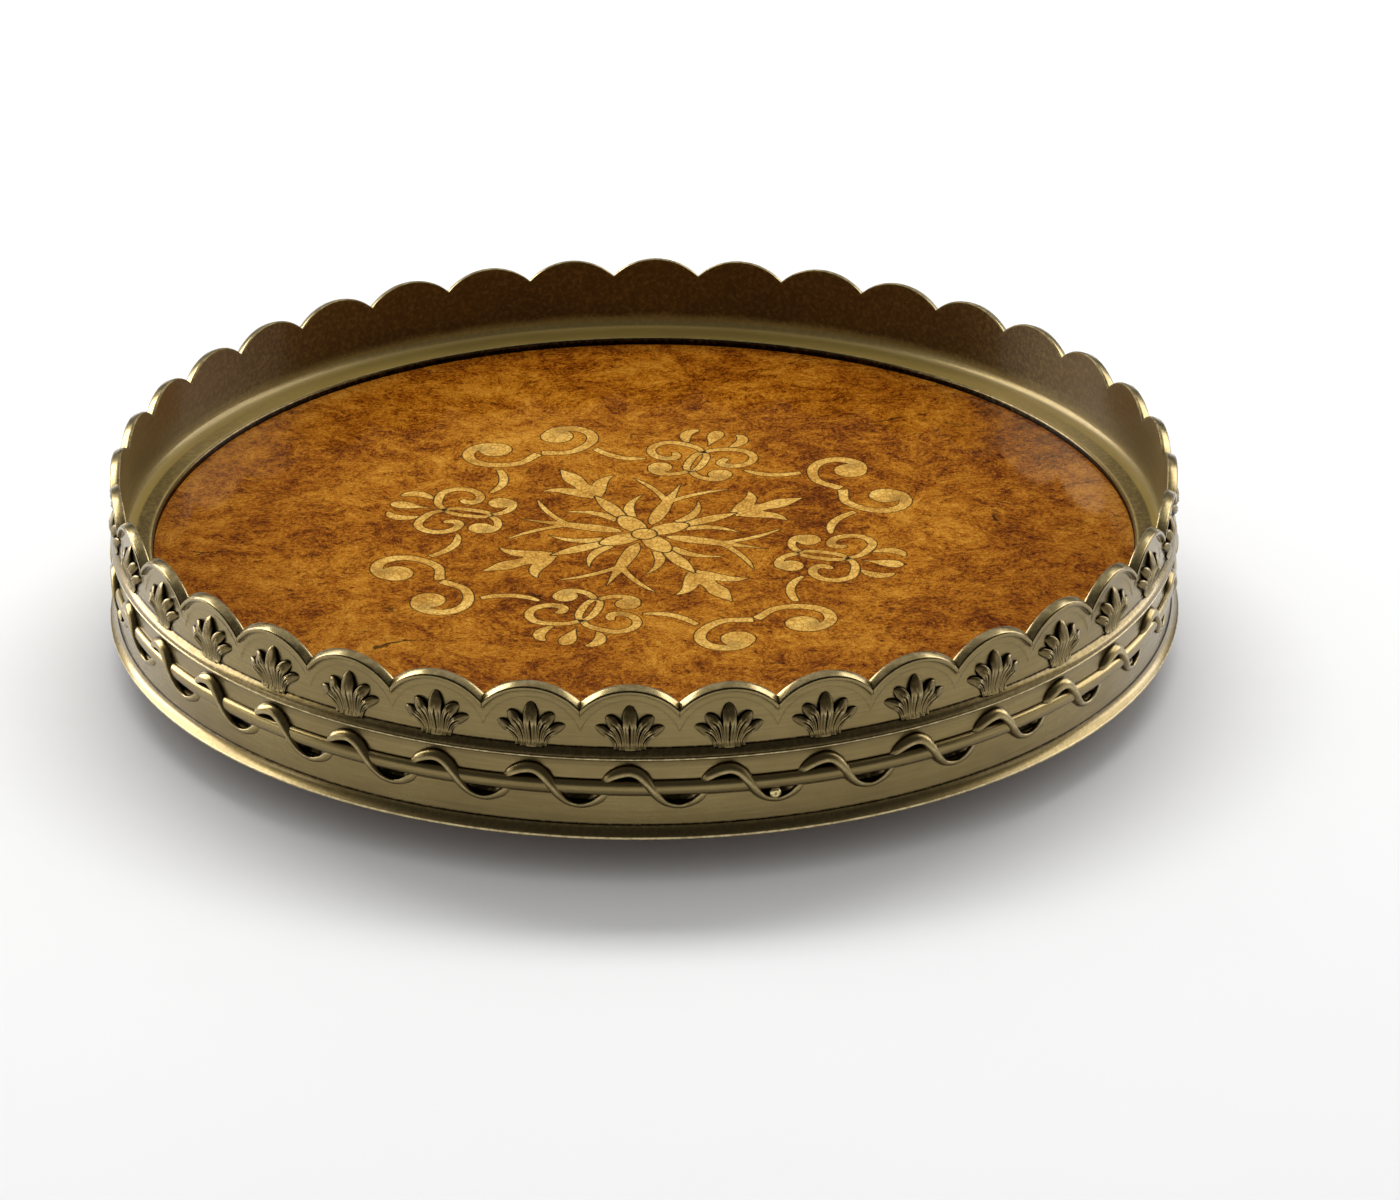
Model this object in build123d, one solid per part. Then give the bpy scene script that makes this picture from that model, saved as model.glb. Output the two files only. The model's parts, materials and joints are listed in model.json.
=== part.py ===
from build123d import *
import os
from math import cos, degrees, hypot, radians, sin

# Round gallery tray on a turntable base.
#
# Millimetres, +Z up. The origin is on the table top, on the tray's centre line.
# A cast brass gallery with a scalloped edge surrounds a burl-veneered panel that
# carries a pattern of inlaid wood. The tray turns on a ball bearing above a disc
# base that stands on rubber feet.
#
# An inlay outline is drawn in the pattern's own frame: one of the four crests
# lies along +Y there, and the pattern repeats every quarter turn.

# ---------------------------------------------------------------- driving sizes
# Heights, from the table up
foot_height = 5.0
base_thickness = 15.0
bearing_height = 9.6
veneer_thickness = 0.6
core_thickness = 17.4
skirt_clearance = 19.5         # from the table to the foot moulding
gallery_height = 65.5          # foot moulding to scallop crown

# Gallery radii
lip_radius = 228.5             # the foot moulding is the widest part
band_radius = 225.0            # plain band that the staff and ribbon run on
field_radius = 224.2           # plain field behind the palmettes
rim_radius = 226.3             # raised border that follows the scallops
shoulder_radius = 226.7
inner_wall_radius = 221.9
skirt_inner_radius = 221.3
ledge_inner_radius = 209.2
gallery_fit = 0.3              # gap between the gallery and the wood inside it

# Gallery mouldings
lip_thickness = 1.0
flare_rise = 5.2               # from the foot moulding's underside to the plain band
staff_half_height = 3.2
staff_depth = 2.1
shoulder_edge = 0.9            # plain fillet under the shoulder's curve
ledge_rise = 3.9               # from the core to the ledge, where it meets the cove
ledge_fall = 0.9               # the ledge slopes down this much towards the panel
cove_radius = 4.4
nosing_radius = 1.2
border_width = 1.7
crown_radius_inner = 27.2      # arc of a scallop at the inner wall
crown_radius_outer = 26.1      # the same arc where it leaves the rim

# Repeats round the gallery
scallop_count = 36
first_crown = 8.417            # degrees, +X to the first scallop crown
crossing_lead = 2.77           # degrees from a crown to the next ribbon crossing
palmette_depth = 2.4
ribbon_depth = 2.9

# Gallery pins
pin_count = 4
pin_lead_arc = 7.4             # mm along the band, from a ribbon crossing to a pin
pin_drop = 5.5                 # below the middle of the staff
pin_head_radius = 2.2
pin_head_height = 1.4
pin_shank_radius = 1.0
pin_shank_length = 18.0
pin_point_length = 2.0
pin_hole_radius = 1.1
pin_hole_depth = 25.0

# Turntable bearing
ball_radius = 2.5
ball_count = 24
ball_pitch_radius = 84.0
ball_clearance = 0.05
race_gap = 2.6                 # between the two rings, across the balls
ring_lift = 1.0                # each ring stands clear of the face it slides past
inner_ring_bore = 66.0
outer_ring_radius = 100.0
cage_thickness = 1.6
cage_height = 7.0
cage_pocket_clearance = 0.1

# Screws: the same countersunk wood screw in three lengths
screw_radius = 1.75
screw_head_radius = 3.4
screw_head_height = 1.9
screw_tip_length = 3.0
tip_radius = 0.3
recess_length, recess_width, recess_depth = 3.6, 0.9, 1.0
metal_fit = 0.05               # round a screw in its hole in metal or rubber
wood_fit = 0.02                # round a screw or pin in its pilot hole in wood
screw_count = 4
inner_screw_ring = 74.0
outer_screw_ring = 93.0
outer_screw_length = 18.0
inner_screw_length = 17.0
foot_screw_length = 14.0
core_pilot_depth = 9.0
base_pilot_depth = 12.0
foot_pilot_depth = 13.0

# Base
base_radius = 150.0
base_edge_radius = 3.0
access_hole_radius = 8.0       # reaches the inner ring's screws one at a time
foot_count = 6
foot_radius = 9.0
foot_taper = 1.0
foot_edge_radius = 0.8
foot_ring_radius = 132.0
foot_recess = 1.6              # how deep the screw head sits in the foot
foot_recess_radius = 4.0

# Inlay
pattern_turn = -17.0           # degrees, turns the whole pattern in the tray
kerf = 0.25                    # glue-filled saw cut between an inlay and its neighbour
smallest_island = 3.0          # cubic mm; smaller loose bits of burl are lost in sawing
centre_disc_radius = 5.4

# ---------------------------------------------------------------- derived sizes
base_bottom = foot_height
base_top = base_bottom + base_thickness
bearing_top = base_top + bearing_height
core_bottom = bearing_top + veneer_thickness
core_top = core_bottom + core_thickness
panel_top = core_top + veneer_thickness
ledge_top = core_top + ledge_rise
skirt_bottom = skirt_clearance
flare_top = skirt_bottom + flare_rise
crown_z = skirt_bottom + gallery_height
notch_z = crown_z - 10.5       # bottom of the notch between two scallops, on the outside
shoulder_top = notch_z - 16.4
shoulder_bottom = notch_z - 21.6
staff_z = notch_z - 33.6
core_radius = skirt_inner_radius - gallery_fit
panel_radius = ledge_inner_radius - gallery_fit
crowns = [first_crown + k * 360 / scallop_count for k in range(scallop_count)]
crossings = [crown + crossing_lead for crown in crowns]
scallops_per_pin = scallop_count // pin_count
pin_z = staff_z - pin_drop
pin_lead = degrees(pin_lead_arc / band_radius)
pin_angles = [crossings[k * scallops_per_pin] + pin_lead for k in range(pin_count)]
screw_angles = [45 + k * 360 / screw_count for k in range(screw_count)]
foot_angles = [15 + k * 360 / foot_count for k in range(foot_count)]
ball_angles = [k * 360 / ball_count for k in range(ball_count)]
ball_z = base_top + bearing_height / 2
inner_race_radius = ball_pitch_radius - race_gap / 2
outer_race_radius = ball_pitch_radius + race_gap / 2
outer_ring_top = bearing_top - ring_lift
inner_ring_bottom = base_top + ring_lift


# --------------------------------------------------------------- shared helpers
bottom_aligned = (Align.CENTER, Align.CENTER, Align.MIN)


def ring(inner, outer, bottom, top):
    """Plain ring between two radii and two heights."""
    outline = Polyline((inner, bottom), (outer, bottom), (outer, top), (inner, top), close=True)
    return revolve(Plane.XZ * make_face(outline), Axis.Z)


def disc(radius, bottom, top):
    """Plain disc between two heights."""
    return Pos(0, 0, bottom) * extrude(Circle(radius), top - bottom)


def drilled(radius, bottom, top):
    """Round hole between two heights."""
    return Pos(0, 0, bottom) * Cylinder(radius, top - bottom, align=bottom_aligned)


def turned(shape, angle):
    """The shape turned about the tray's centre line."""
    return Rot(0, 0, angle) * shape


def around(shape, angles, radius=0.0):
    """One copy of the shape at each angle round the centre line, moved out to the radius."""
    return [turned(Pos(radius, 0, 0) * shape, angle) for angle in angles]


def outside_plane(radius, z):
    """Drawing plane seen from outside the tray: x runs round it, y runs up, z points out."""
    return Plane(origin=(radius, 0, z), x_dir=(0, 1, 0), z_dir=(1, 0, 0))


def strap(path, widths, grow=0.0):
    """Face that follows a smooth path, with its own width at each point of the path."""
    left, right = [], []
    last = len(path) - 1
    for i, ((x, y), width) in enumerate(zip(path, widths)):
        before, after = path[max(i - 1, 0)], path[min(i + 1, last)]
        along = (after[0] - before[0], after[1] - before[1])
        length = hypot(*along)
        ux, uy = along[0] / length, along[1] / length
        half = width / 2 + grow
        end = grow * ((i == last) - (i == 0))
        left.append((x + ux * end - uy * half, y + uy * end + ux * half))
        right.append((x + ux * end + uy * half, y + uy * end - ux * half))
    right.reverse()
    outline = Spline(*left) + Line(left[-1], right[0]) + Spline(*right) + Line(right[-1], left[0])
    return make_face(outline)


def arc_path(centre, radius, start, stop, count):
    """Evenly spaced points on an arc, from one angle to another."""
    step = (stop - start) / (count - 1)
    turns = [radians(start + k * step) for k in range(count)]
    return [(centre[0] + radius * cos(a), centre[1] + radius * sin(a)) for a in turns]


def compound(label, shapes):
    """One node: a group of separate solids under one label."""
    solids = [solid for shape in shapes for solid in shape.solids()]
    node = Compound(children=solids) if len(solids) > 1 else solids[0]
    node.label = label
    return node


# ---------------------------------------------------------------------- gallery
def foot_moulding():
    """Outline from the skirt's inside, under the lip and up its hollow flare to the band."""
    line = Polyline(
        (skirt_inner_radius, core_top),
        (skirt_inner_radius, skirt_bottom),
        (lip_radius, skirt_bottom),
        (lip_radius, skirt_bottom + lip_thickness),
    )
    flare_middle = (band_radius + 1.3, skirt_bottom + lip_thickness + 1.9)
    line += ThreePointArc(line @ 1, flare_middle, (band_radius + 0.5, flare_top - 0.4))
    return line + Line(line @ 1, (band_radius, flare_top))


def outer_mouldings(line):
    """The outline continued up the band, over the staff and the shoulder to the field."""
    line += Line(line @ 1, (band_radius, staff_z - staff_half_height))
    staff_peak = (band_radius + staff_depth, staff_z)
    line += ThreePointArc(line @ 1, staff_peak, (band_radius, staff_z + staff_half_height))
    line += Polyline(
        line @ 1,
        (band_radius, shoulder_bottom),
        (shoulder_radius, shoulder_bottom),
        (shoulder_radius, shoulder_bottom + shoulder_edge),
    )
    shoulder_middle = (field_radius + 1.75, shoulder_top - 1.6)
    return line + ThreePointArc(line @ 1, shoulder_middle, (field_radius, shoulder_top))


def hollow(line, start, stop, centre, radius):
    """The outline continued by an arc about the centre that bulges halfway between two places."""
    middle_x = centre[0] + radius * cos(radians((start + stop) / 2))
    middle_z = centre[1] + radius * sin(radians((start + stop) / 2))
    end = (centre[0] + radius * cos(radians(stop)), centre[1] + radius * sin(radians(stop)))
    return line + ThreePointArc(line @ 1, (middle_x, middle_z), end)


def gallery_section():
    """Half section of the gallery as radius and height, before the scallops are cut."""
    above = crown_z + 2
    line = outer_mouldings(foot_moulding())
    line += Polyline(
        line @ 1,
        (field_radius, above),
        (inner_wall_radius, above),
        (inner_wall_radius, ledge_top + cove_radius),
    )
    line = hollow(line, 0, -90, (inner_wall_radius - cove_radius, ledge_top + cove_radius), cove_radius)
    nosing_z = ledge_top - ledge_fall - nosing_radius
    line += Line(line @ 1, (ledge_inner_radius + nosing_radius, nosing_z + nosing_radius))
    line = hollow(line, 90, 180, (ledge_inner_radius + nosing_radius, nosing_z), nosing_radius)
    line += Polyline(line @ 1, (ledge_inner_radius, core_top), (skirt_inner_radius, core_top))
    return Plane.XZ * make_face(line)


def scallop_cone(angle, shrink=0.0):
    """Solid under one scallop arc: a cone that points outwards, so the rim slopes down outwards."""
    start, stop = inner_wall_radius - 4, lip_radius + 1
    slope = (crown_radius_inner - crown_radius_outer) / (rim_radius - inner_wall_radius)
    first = crown_radius_inner + slope * (inner_wall_radius - start) - shrink
    final = crown_radius_outer - slope * (stop - rim_radius) - shrink
    cone = Cone(first, final, stop - start, align=bottom_aligned)
    return turned(outside_plane(start, crown_z - crown_radius_inner) * cone, angle)


def gallery_band():
    """The casting: foot moulding, band, staff, shoulder, scalloped field, border, cove and ledge."""
    body = revolve(gallery_section(), Axis.Z)
    above_arcs = ring(inner_wall_radius - 2, rim_radius + 1, notch_z - 5, crown_z + 3)
    above_arcs -= [scallop_cone(angle) for angle in crowns]
    border = ring(field_radius, rim_radius, notch_z - 4, crown_z + 2)
    border -= [scallop_cone(angle, border_width) for angle in crowns]
    body = body + border - above_arcs
    return body - around(pin_hole(pin_hole_radius), pin_angles)


def palmette():
    """Fan of five lobes on a short foot, curved to lie on the field."""
    lobes = strap([(0, 0.2), (0, 6), (0, 12), (0, 16), (0, 18.6)], [4.4, 4.8, 5.4, 4.8, 1.4])
    for side in (-1, 1):
        lobes += strap(
            [(side * 3.1, 0.2), (side * 4.0, 5), (side * 5.4, 9.6), (side * 7.8, 14.0)],
            [2.2, 3.2, 4.6, 1.6],
        )
        lobes += strap(
            [(side * 4.6, 0.2), (side * 6.0, 4), (side * 8.6, 7.2), (side * 12.4, 9.2)],
            [2.2, 2.8, 2.8, 1.0],
        )
    foot_width, foot_rise = 11.6, 1.4
    lobes += Pos(0, foot_rise / 2) * Rectangle(foot_width, foot_rise)
    plate = extrude(outside_plane(field_radius - 2, shoulder_top) * lobes, 6)
    return plate & ring(field_radius, field_radius + palmette_depth, shoulder_top, crown_z)


def ribbon():
    """One turn of the ribbon round the staff, drawn from its crossing over the staff."""
    rise = [(-21.2, 3.2), (-17.6, 6.0), (-14.4, 7.4), (-10.6, 7.9), (-7.4, 6.6), (-4.9, 3.9)]
    fall = [(-2.6, 0.4), (-0.2, -3.4), (3.4, -6.8), (8.6, -8.2), (13.4, -7.0), (17.2, -4.6)]
    widths = [2.2, 3.4, 4.2, 4.6, 4.7, 4.6, 4.5, 4.0, 3.2, 2.6, 2.8, 2.0]
    face = outside_plane(band_radius - 3, staff_z) * strap(rise + fall, widths)
    low, high = staff_z - 12, staff_z + 12
    solid = extrude(face, 10) & ring(band_radius, band_radius + ribbon_depth, low, high)
    staff = revolve(gallery_section(), Axis.Z)
    return solid - staff


def ribbons():
    """Every turn of the ribbon, with a notch for the pin head where one is driven."""
    turns = around(ribbon(), crossings)
    notches = around(pin_hole(pin_head_radius + 0.15), pin_angles)
    for k, notch in enumerate(notches):
        turns[k * scallops_per_pin] -= notch
    return turns


def pin_hole(radius):
    """Radial hole for a gallery pin, at angle zero."""
    length = pin_hole_depth + 5
    return outside_plane(band_radius - pin_hole_depth, pin_z) * extrude(Circle(radius), length)


def gallery_pin():
    """Round-headed brass pin, driven through the band into the edge of the core."""
    tip = Pos(0, 0, -pin_shank_length)
    shank = tip * Cylinder(pin_shank_radius, pin_shank_length, align=bottom_aligned)
    point = Cone(pin_shank_radius, 0.2, pin_point_length, align=bottom_aligned)
    dome_radius = (pin_head_radius**2 + pin_head_height**2) / (2 * pin_head_height)
    dome = Pos(0, 0, pin_head_height - dome_radius) * Sphere(dome_radius)
    head = dome & Cylinder(pin_head_radius + 1, pin_head_height + 1, align=bottom_aligned)
    return outside_plane(band_radius, pin_z) * (head + shank + tip * Rot(180, 0, 0) * point)


# ------------------------------------------------------------------ inlay shapes
# Each function gives the faces of one motif. grow widens them for the pockets.
def rosette_centre(grow=0.0):
    return [Circle(centre_disc_radius + grow)]


def rosette_ovals(grow=0.0):
    path = [(4.6, 0), (9.5, 0), (15, 0), (19, 0), (21.4, 0)]
    oval = strap(path, [8.0, 10.4, 9.8, 6.2, 1.6], grow)
    return [Rot(0, 0, 45) * clear_of(oval, rosette_centre(kerf), grow)]


def pointed_petals(grow=0.0):
    path = [(19.5, 0), (26, 0), (32, 0), (38.5, 0), (45, 0)]
    petal = Rot(0, 0, 45) * strap(path, [4.4, 6.2, 6.8, 4.8, 0.8], grow)
    return [clear_of(petal, rosette_ovals(kerf), grow)]


def curved_petals(grow=0.0):
    path = [(10.2, 15.2), (13.4, 21.4), (14.7, 27.8), (14.1, 34.0), (12.5, 39.0)]
    petal = strap(path, [4.6, 5.0, 4.0, 2.3, 0.6], grow)
    petal = clear_of(petal, rosette_ovals(kerf) + pointed_petals(kerf), grow)
    return [petal, mirrored_on_diagonal(petal)]


def forked_leaves(grow=0.0):
    leaf = strap([(0, 9.6), (0, 13), (0, 19), (0, 29), (0, 37)], [0.8, 4.6, 6.8, 6.4, 5.0], grow)
    leaf += strap([(0, 35), (0, 40), (0, 47), (0, 55)], [5.4, 4.2, 2.3, 0.5], grow)
    for side in (-1, 1):
        tine = [(side * 0.9, 35.2), (side * 5.3, 41.2), (side * 12.2, 48.2), (side * 21.6, 54.8)]
        leaf += strap(tine, [3.6, 3.2, 2.9, 0.5], grow)
    return [leaf]


def leaf_sprays(grow=0.0):
    path = [(43.2, 0), (46.5, 0), (51, 0), (58, 0), (66, 0), (72, 0), (77.6, 0)]
    spray = strap(path, [7.0, 6.4, 9.4, 7.2, 9.0, 5.4, 0.6], grow)
    for side in (-1, 1):
        lobe = [(45.5, side * 1.6), (52, side * 5.4), (57.4, side * 10), (60.4, side * 17.6)]
        spray += strap(lobe, [4.4, 7.0, 5.8, 0.6], grow)
    return [clear_of(Rot(0, 0, 45) * spray, pointed_petals(kerf), grow)]


def bracket_scrolls(grow=0.0):
    stem = [(68.3, 69.2), (63.8, 70.8), (57.3, 73.4), (52.9, 79.4)]
    bow = arc_path((61.7, 88.3), 10.7, 180, 12, 5)
    half = strap(stem + bow, [5.0, 4.6, 4.6, 4.9, 5.3, 5.5, 5.7, 5.8, 4.8], grow)
    half += Pos(67.3, 88.8) * Circle(7.4 + grow)
    half = clear_of(half, [Rot(0, 0, 45) * Pos(100, 0) * Rectangle(60, kerf)], grow)
    return [half, mirrored_on_diagonal(half)]


def tendrils(grow=0.0):
    path = [(22.4, 76.6), (27, 75.0), (33, 74.4), (40, 76.2), (47.2, 80.6)]
    tendril = strap(path, [1.8, 3.6, 4.2, 4.2, 3.2], grow)
    tendril = clear_of(tendril, crest_scrolls(kerf) + bracket_scrolls(kerf)[:1], grow)
    return [tendril, mirrored_on_diagonal(tendril)]


def crest_scrolls(grow=0.0):
    rise = [(0.9, 90.6), (4.8, 94.3)]
    bow = arc_path((14.2, 87.8), 8.9, 110, -90, 6)
    hook = [(10.9, 80.4), (10.5, 83.6), (12.4, 86.4)]
    widths = [3.2, 3.8, 4.2, 4.3, 4.3, 4.3, 4.4, 4.6, 4.8, 4.4, 2.4]
    scroll = strap(rise + bow + hook, widths, grow)
    return mirrored_pair(clear_of(scroll, [crest_joint()], grow))


def crest_lenses(grow=0.0):
    path = [(0.9, 89.4), (2.7, 85), (3.1, 79), (2.7, 73), (0.9, 68.4)]
    right, left = mirrored_pair(strap(path, [3.0, 3.6, 4.0, 3.6, 3.0], grow))
    return [clear_of(right + left, crest_scrolls(kerf) + crest_volutes(kerf), grow)]


def crest_volutes(grow=0.0):
    path = [(1.0, 68.4), (4.6, 64.6), (9.5, 62.8), (14.0, 63.5), (17.2, 67.0)]
    volute = strap(path, [3.4, 3.9, 4.0, 4.3, 3.4], grow)
    volute += Pos(13.7, 69.0) * Circle(5.5 + grow)
    return mirrored_pair(clear_of(volute, [crest_joint()], grow))


def crest_petals(grow=0.0):
    path = [(0, 96.4), (0, 103.4), (0, 109.4), (0, 112.6), (0, 114.6)]
    middle = strap(path, [0.8, 4.4, 7.6, 6.0, 1.2], grow)
    path = [(9.4, 98.2), (12.1, 102.6), (12.8, 107.2), (11.2, 110.8), (8.4, 112.6)]
    side = strap(path, [1.2, 4.8, 5.6, 4.4, 1.6], grow)
    return [middle] + mirrored_pair(clear_of(side, crest_scrolls(kerf), grow))


def clear_of(face, neighbours, grow):
    """An inlay cut back from its neighbours; a pocket, which is grown, may run into the next one."""
    if grow:
        return face
    for neighbour in neighbours:
        face = face - neighbour
    return max(face.faces(), key=lambda piece: piece.area)


def mirrored_pair(face):
    """A face and its mirror image across the crest's axis."""
    return [face, mirror(face, Plane.YZ)]


def mirrored_on_diagonal(face):
    """Mirror image across the diagonal between two crests."""
    return mirror(face, Plane(origin=(0, 0, 0), z_dir=(1, -1, 0)))


def crest_joint():
    """Saw cut along the crest's axis, where its two halves meet."""
    return Pos(0, 80) * Rectangle(kerf, 60)


motifs = {
    "inlay_rosette_centre": (rosette_centre, 1),
    "inlay_rosette_ovals": (rosette_ovals, 4),
    "inlay_pointed_petals": (pointed_petals, 4),
    "inlay_curved_petals": (curved_petals, 4),
    "inlay_forked_leaves": (forked_leaves, 4),
    "inlay_leaf_sprays": (leaf_sprays, 4),
    "inlay_bracket_scrolls": (bracket_scrolls, 4),
    "inlay_tendrils": (tendrils, 4),
    "inlay_crest_scrolls": (crest_scrolls, 4),
    "inlay_crest_lenses": (crest_lenses, 4),
    "inlay_crest_volutes": (crest_volutes, 4),
    "inlay_crest_petals": (crest_petals, 4),
}


def inlay_solids(motif, repeats, grow=0.0):
    """All solids of one motif, full veneer thickness, at their places in the tray."""
    quarters = [pattern_turn + k * 360 / repeats for k in range(repeats)]
    placed = []
    for face in motif(grow):
        solid = Pos(0, 0, core_top) * extrude(face, veneer_thickness)
        placed += around(solid, quarters)
    return placed


# ------------------------------------------------------------------------ panel
def burl_veneer():
    """Face veneer with a sawn pocket for every inlay, and the slips of burl held inside a motif."""
    sheet = disc(panel_radius, core_top, panel_top)
    pockets = []
    for motif, repeats in motifs.values():
        pockets += inlay_solids(motif, repeats, kerf)
    sheet -= pockets
    return [solid for solid in sheet.solids() if solid.volume > smallest_island]


def core_board():
    """Plywood core with pilot holes for the gallery pins and the bearing screws."""
    board = disc(core_radius, core_bottom, core_top)
    board -= around(pin_hole(pin_shank_radius + wood_fit), pin_angles)
    pilot = drilled(screw_radius + wood_fit, core_bottom, core_bottom + core_pilot_depth)
    return board - around(pilot, screw_angles, inner_screw_ring)


def backing_veneer():
    """Plain veneer under the core that keeps the panel flat."""
    sheet = disc(core_radius, bearing_top, core_bottom)
    hole = drilled(screw_radius + wood_fit, bearing_top, core_bottom)
    return sheet - around(hole, screw_angles, inner_screw_ring)


# ---------------------------------------------------------------------- bearing
def countersunk_hole(z_head, towards, depth):
    """Screw hole with its countersink at z_head; the screw points towards +1 or -1 along Z."""
    shank = Cylinder(screw_radius + metal_fit, 2 * depth)
    sink = Cone(
        screw_head_radius + metal_fit, screw_radius + metal_fit, screw_head_height, align=bottom_aligned
    )
    if towards < 0:
        sink = Rot(180, 0, 0) * sink
    return Pos(0, 0, z_head) * (shank + sink)


def wood_screw(z_head, towards, length):
    """Countersunk wood screw with a cross recess, head flush at z_head."""
    head = Cone(screw_head_radius, screw_radius, screw_head_height, align=bottom_aligned)
    shank = Cylinder(screw_radius, length - screw_tip_length, align=bottom_aligned)
    point = Cone(screw_radius, tip_radius, screw_tip_length, align=bottom_aligned)
    slot = Box(recess_length, recess_width, recess_depth, align=bottom_aligned)
    screw = head + shank + Pos(0, 0, length - screw_tip_length) * point
    screw = screw - slot - Rot(0, 0, 90) * slot
    if towards < 0:
        screw = Rot(180, 0, 0) * screw
    return Pos(0, 0, z_head) * screw


def ball_track():
    """The torus that the balls run in, cut into both rings."""
    return Pos(0, 0, ball_z) * Torus(ball_pitch_radius, ball_radius + ball_clearance)


def bearing_outer_ring():
    """Fixed ring, screwed down on the base."""
    body = ring(outer_race_radius, outer_ring_radius, base_top, outer_ring_top) - ball_track()
    hole = countersunk_hole(outer_ring_top, -1, bearing_height)
    return body - around(hole, screw_angles, outer_screw_ring)


def bearing_inner_ring():
    """Turning ring, screwed up into the panel."""
    body = ring(inner_ring_bore, inner_race_radius, inner_ring_bottom, bearing_top) - ball_track()
    hole = countersunk_hole(inner_ring_bottom, 1, bearing_height)
    return body - around(hole, screw_angles, inner_screw_ring)


def outer_ring_screws():
    return around(wood_screw(outer_ring_top, -1, outer_screw_length), screw_angles, outer_screw_ring)


def inner_ring_screws():
    return around(wood_screw(inner_ring_bottom, 1, inner_screw_length), screw_angles, inner_screw_ring)


def bearing_balls():
    return around(Pos(0, 0, ball_z) * Sphere(ball_radius), ball_angles, ball_pitch_radius)


def bearing_cage():
    """Thin ring that keeps the balls evenly spaced."""
    inner, outer = ball_pitch_radius - cage_thickness / 2, ball_pitch_radius + cage_thickness / 2
    body = ring(inner, outer, ball_z - cage_height / 2, ball_z + cage_height / 2)
    reach = 2 * cage_thickness
    pocket = Rot(0, 90, 0) * Cylinder(ball_radius + cage_pocket_clearance, 2 * reach)
    return body - around(Pos(0, 0, ball_z) * pocket, ball_angles, ball_pitch_radius)


# ------------------------------------------------------------------------- base
def base_disc():
    """Painted wooden disc with rounded edges and a hole that reaches the inner ring's screws."""
    body = disc(base_radius, base_bottom, base_top)
    body = fillet(body.edges().filter_by(GeomType.CIRCLE), base_edge_radius)
    access = drilled(access_hole_radius, base_bottom - 1, base_top + 1)
    body -= around(access, screw_angles[:1], inner_screw_ring)
    pilot = drilled(screw_radius + wood_fit, base_top - base_pilot_depth, base_top + 1)
    body -= around(pilot, screw_angles, outer_screw_ring)
    foot_pilot = drilled(screw_radius + wood_fit, base_bottom - 1, base_bottom + foot_pilot_depth)
    return body - around(foot_pilot, foot_angles, foot_ring_radius)


def base_feet():
    """Rubber feet, slightly tapered, with a recess that hides the screw head."""
    foot = Cone(foot_radius - foot_taper, foot_radius, foot_height, align=bottom_aligned)
    foot = fillet(foot.edges().group_by(Axis.Z)[0], foot_edge_radius)
    foot -= drilled(foot_recess_radius, -1, foot_recess)
    foot -= countersunk_hole(foot_recess, 1, foot_height)
    return around(foot, foot_angles, foot_ring_radius)


def foot_screws():
    return around(wood_screw(foot_recess, 1, foot_screw_length), foot_angles, foot_ring_radius)


# ------------------------------------------------------------------------ output
def all_nodes():
    """Name and shapes of every node."""
    nodes = {
        "base_disc": [base_disc()],
        "base_feet": base_feet(),
        "foot_screws": foot_screws(),
        "bearing_outer_ring": [bearing_outer_ring()],
        "outer_ring_screws": outer_ring_screws(),
        "bearing_cage": [bearing_cage()],
        "bearing_balls": bearing_balls(),
        "bearing_inner_ring": [bearing_inner_ring()],
        "inner_ring_screws": inner_ring_screws(),
        "backing_veneer": [backing_veneer()],
        "core_board": [core_board()],
        "burl_veneer": burl_veneer(),
        "gallery_band": [gallery_band()],
        "gallery_palmettes": around(palmette(), crowns),
        "gallery_ribbon": ribbons(),
        "gallery_pins": around(gallery_pin(), pin_angles),
    }
    for name, (motif, repeats) in motifs.items():
        nodes[name] = inlay_solids(motif, repeats)
    return nodes


os.makedirs("parts", exist_ok=True)
for name, shapes in all_nodes().items():
    export_step(compound(name, shapes), f"parts/{name}.step")
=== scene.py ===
"""Looks of the round gallery tray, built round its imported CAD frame.

Shapes are worked out in millimetres and stored in metres. The gallery is drawn round the
tray's centre line: an angle says where round the tray, x runs along the wall from there,
z runs up, and h stands out from the wall.
"""

import json
import math

import bpy
import numpy as np
from mathutils import Matrix, Vector


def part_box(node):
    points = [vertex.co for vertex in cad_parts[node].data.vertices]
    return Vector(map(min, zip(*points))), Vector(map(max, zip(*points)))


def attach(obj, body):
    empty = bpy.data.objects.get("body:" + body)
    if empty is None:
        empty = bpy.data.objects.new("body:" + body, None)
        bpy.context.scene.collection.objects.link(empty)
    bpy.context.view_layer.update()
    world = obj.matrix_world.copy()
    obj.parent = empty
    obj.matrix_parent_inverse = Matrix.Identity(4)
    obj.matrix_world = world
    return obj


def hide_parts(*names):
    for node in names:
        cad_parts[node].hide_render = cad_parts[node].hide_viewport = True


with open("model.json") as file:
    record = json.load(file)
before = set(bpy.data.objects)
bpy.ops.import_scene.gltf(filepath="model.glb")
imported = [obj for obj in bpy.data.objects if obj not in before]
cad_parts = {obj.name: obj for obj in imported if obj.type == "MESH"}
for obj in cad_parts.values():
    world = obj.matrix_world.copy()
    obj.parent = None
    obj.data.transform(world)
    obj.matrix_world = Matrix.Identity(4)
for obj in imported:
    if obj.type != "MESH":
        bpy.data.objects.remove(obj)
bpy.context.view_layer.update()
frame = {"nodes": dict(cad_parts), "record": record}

MM = 0.001

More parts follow.
